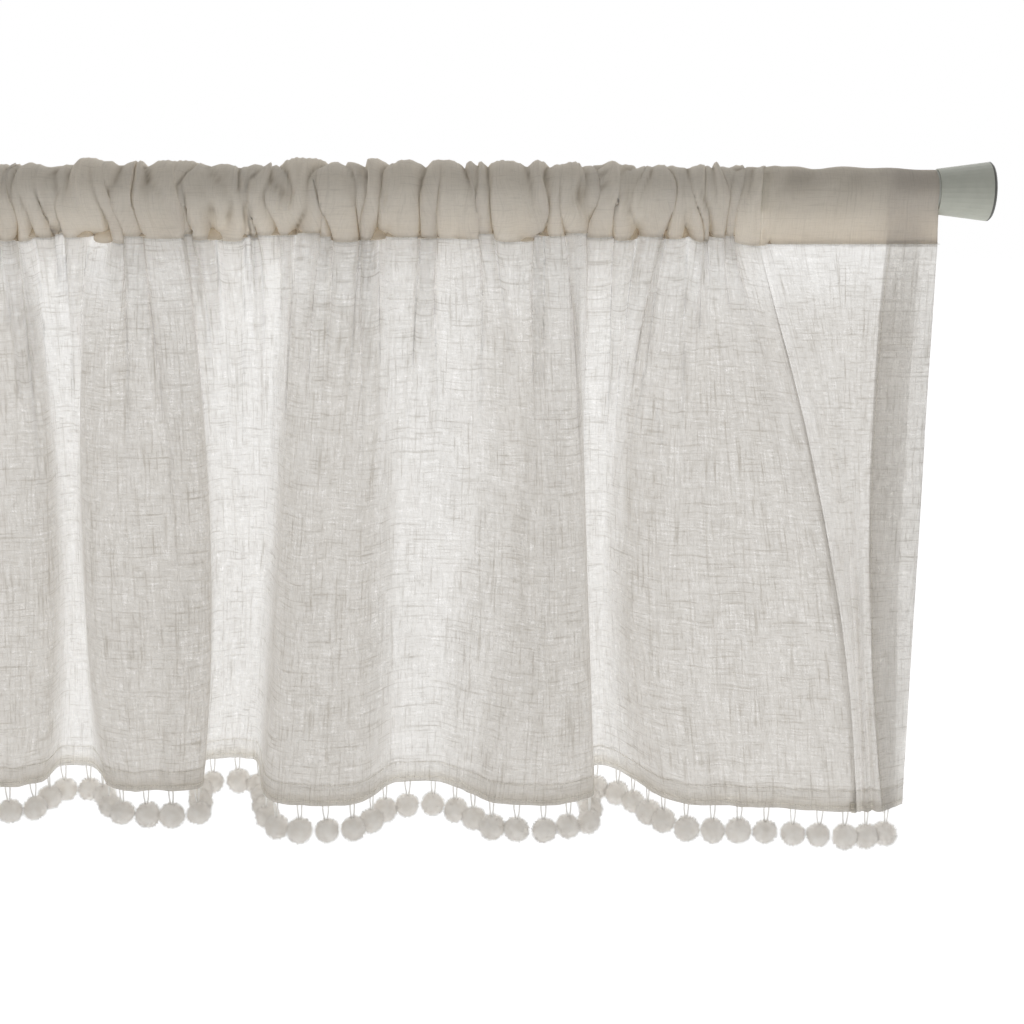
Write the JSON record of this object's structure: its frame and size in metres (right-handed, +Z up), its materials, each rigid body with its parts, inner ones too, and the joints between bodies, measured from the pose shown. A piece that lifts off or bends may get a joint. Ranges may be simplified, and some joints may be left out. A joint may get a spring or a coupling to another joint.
{
  "type": "cafe curtain on a tension rod",
  "caption": "Short semi-sheer linen cafe curtain, gathered by its rod pocket on a spring tension rod with flared end caps, with a pompom trim under its hem.",
  "frame": {"origin": "on the rod's axis, midway between the two end caps", "axes": "+X along the rod to the right as seen from the room, -Y into the room, +Z up"},
  "size_m": [0.922, 0.0954, 0.4373],
  "materials": {
    "slub_linen": "matt plain weave with slubs, semi-sheer",
    "pompom_yarn": "soft cut pile",
    "rod_paint": "satin",
    "cap_moulding": "matt"
  },
  "bodies": {
    "root": {"curtain_panel": "slub_linen", "pompom_trim": "pompom_yarn", "rod_tube": "rod_paint", "end_cap_right": "cap_moulding", "end_cap_left": "cap_moulding"}
  },
  "joints": []
}
